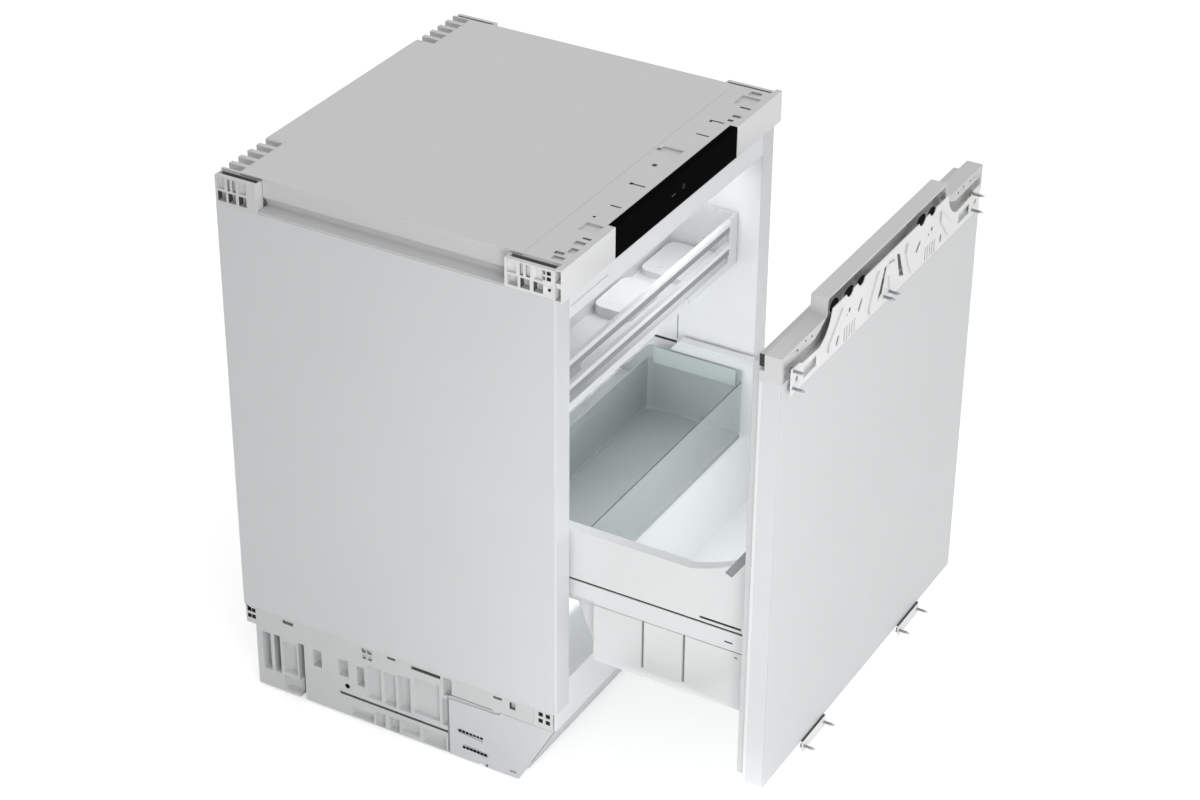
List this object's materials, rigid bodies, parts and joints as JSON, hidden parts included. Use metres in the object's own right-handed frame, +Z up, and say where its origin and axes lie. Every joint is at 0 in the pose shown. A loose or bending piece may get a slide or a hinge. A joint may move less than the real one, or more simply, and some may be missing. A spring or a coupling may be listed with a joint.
{
  "type": "built-in refrigerator",
  "caption": "Under-worktop built-in refrigerator with a pull-out drawer: insulated cabinet, top control strip, inner tray, bottle compartment and a bracket for a cabinet front.",
  "frame": {"origin": "bottom centre of the whole object with the drawer as in the picture, on the floor", "axes": "+Z up, +Y towards the back wall, the drawer pulls out along -Y, +X to the right seen from the front"},
  "size_m": [0.597, 0.848, 0.82],
  "materials": {
    "painted_steel": "smooth satin powder coat",
    "zinc_steel": "galvanised, dull",
    "grey_moulding": "fine moulded grain",
    "black_glass": "printed behind, polished",
    "circuit_board": "solder mask",
    "white_frame": "smooth satin",
    "white_liner": "thermoformed, soft gloss",
    "rigid_foam": "closed-cell foam, cut",
    "aluminium": "roll-bonded",
    "lamp_lens": "frosted",
    "white_tray": "soft gloss",
    "satin_trim": "satin anodised",
    "grey_insert": "smooth",
    "pale_moulding": "fine moulded grain",
    "pale_cover": "fine moulded grain",
    "base_sheet": "satin",
    "black_enamel": "baked enamel",
    "motor_iron": "as cast",
    "mount_rubber": "moulded",
    "black_plastic": "moulded",
    "copper": "drawn tube",
    "foot_plastic": "moulded",
    "runner_steel": "roll formed, coated",
    "white_carriage": "moulded, soft gloss",
    "clear_plastic": "transparent, pale green",
    "seal_vinyl": "extruded",
    "white_bracket": "pressed, coated",
    "screw_steel": "zinc plated"
  },
  "bodies": {
    "cabinet": {"side_panel_left": "painted_steel", "side_panel_right": "painted_steel", "back_panel": "zinc_steel", "top_cover": "grey_moulding", "front_trim": "grey_moulding", "control_panel": "black_glass", "control_board": "circuit_board", "front_rail_top": "white_frame", "front_rail_bottom": "white_frame", "inner_liner": "white_liner", "insulation_foam": "rigid_foam", "front_corner_block_left": "grey_moulding", "front_corner_block_right": "grey_moulding", "rear_corner_block_left": "grey_moulding", "rear_corner_block_right": "grey_moulding", "evaporator": "aluminium", "light_housing": "white_liner", "light_lens": "lamp_lens", "upper_tray": "white_tray", "tray_trims": "satin_trim", "tray_inserts": "grey_insert", "base_side_left": "pale_moulding", "base_side_right": "pale_moulding", "side_cover_left": "pale_cover", "side_cover_right": "pale_cover", "base_plate": "base_sheet", "lower_corner_blocks": "grey_moulding", "compressor": "black_enamel", "compressor_motor": "motor_iron", "compressor_mounts": "mount_rubber", "start_relay": "black_plastic", "condenser": "black_enamel", "fan_shroud": "black_plastic", "evaporation_tray": "black_plastic", "filter_drier": "copper", "refrigerant_pipes": "copper", "inlet_socket": "black_plastic", "compressor_cover": "zinc_steel", "cabinet_runner_left": "runner_steel", "cabinet_runner_right": "runner_steel"},
    "drawer": {"carriage_shell": "white_carriage", "carriage_side_left": "white_carriage", "carriage_side_right": "white_carriage", "clear_box": "clear_plastic", "drawer_runner_left": "runner_steel", "drawer_runner_right": "runner_steel", "door_outer_panel": "painted_steel", "door_inner_panel": "white_liner", "door_foam": "rigid_foam", "door_top_cap": "grey_moulding", "door_gasket": "seal_vinyl", "front_bracket": "white_bracket", "angle_brackets": "white_bracket", "front_screws": "screw_steel"},
    "middle_slides": {"middle_runners": "runner_steel"},
    "fan": {"fan_rotor": "black_plastic"},
    "foot_front_left_body": {"foot_front_left": "foot_plastic"},
    "foot_front_right_body": {"foot_front_right": "foot_plastic"},
    "foot_rear_left_body": {"foot_rear_left": "foot_plastic"},
    "foot_rear_right_body": {"foot_rear_right": "foot_plastic"}
  },
  "joints": [
    {"name": "drawer_slide", "type": "slide", "parent": "cabinet", "child": "drawer", "axis": [0, -1, 0], "range_m": [-0.27, 0.155]},
    {"name": "middle_slide", "type": "slide", "parent": "cabinet", "child": "middle_slides", "axis": [0, -1, 0], "range_m": [-0.135, 0.0775]},
    {"name": "fan_spin", "type": "hinge", "parent": "cabinet", "child": "fan", "pos_m": [-0.15, 0.29, 0.106], "axis": [0, 1, 0], "continuous": true},
    {"name": "foot_front_left_level", "type": "slide", "parent": "cabinet", "child": "foot_front_left_body", "axis": [0, 0, -1], "range_m": [0, 0.05]},
    {"name": "foot_front_right_level", "type": "slide", "parent": "cabinet", "child": "foot_front_right_body", "axis": [0, 0, -1], "range_m": [0, 0.05]},
    {"name": "foot_rear_left_level", "type": "slide", "parent": "cabinet", "child": "foot_rear_left_body", "axis": [0, 0, -1], "range_m": [0, 0.05]},
    {"name": "foot_rear_right_level", "type": "slide", "parent": "cabinet", "child": "foot_rear_right_body", "axis": [0, 0, -1], "range_m": [0, 0.05]}
  ],
  "couplings": [
    {"joint": "middle_slide", "follows": "drawer_slide", "ratio": 0.5}
  ]
}
